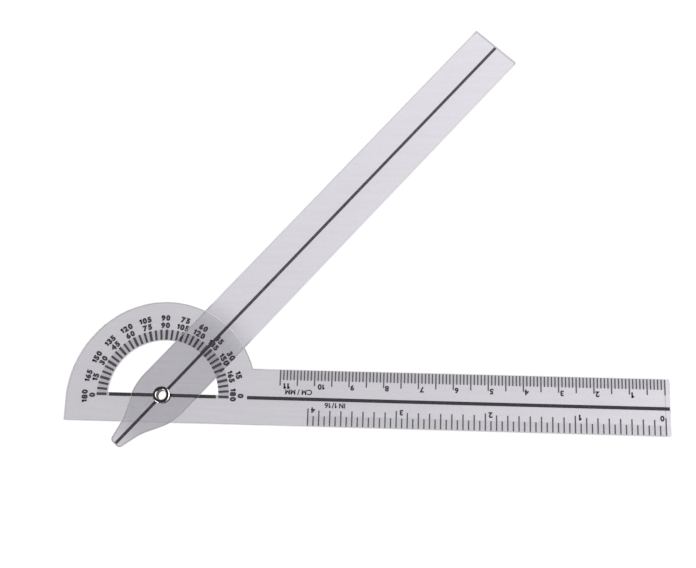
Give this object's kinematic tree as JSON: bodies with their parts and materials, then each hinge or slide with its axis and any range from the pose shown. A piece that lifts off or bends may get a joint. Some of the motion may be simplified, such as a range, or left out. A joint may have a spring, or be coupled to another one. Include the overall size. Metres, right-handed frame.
{
  "type": "angle finder",
  "caption": "Clear flat angle finder: a ruled arm with a half-round degree head, and a pointed arm that turns on a hollow eyelet and is read against the head.",
  "frame": {"origin": "on the eyelet's axis, in the face of the fixed arm that carries the scales", "axes": "+X along the base line to the ruler's free end, +Y from the base line to the degree scale, +Z along the pivot axis towards the moving arm"},
  "size_m": [0.1743, 0.1307, 0.0036],
  "materials": {
    "fixed_sheet": "clear, faintly grey, glossy",
    "moving_sheet": "clear, faintly grey, glossy",
    "nickel": "bright nickel plate on brass",
    "ink": "flat dark grey print"
  },
  "bodies": {
    "ruler": {"fixed_arm": "fixed_sheet", "eyelet": "nickel", "base_line": "ink", "degree_marks": "ink", "metric_marks": "ink", "inch_marks": "ink", "zero_line": "ink"},
    "pointer": {"moving_arm": "moving_sheet", "centre_line": "ink"}
  },
  "joints": [
    {"name": "pivot", "type": "hinge", "parent": "ruler", "child": "pointer", "pos_m": [0, 0, 0], "axis": [0, 0, 1], "continuous": true}
  ]
}
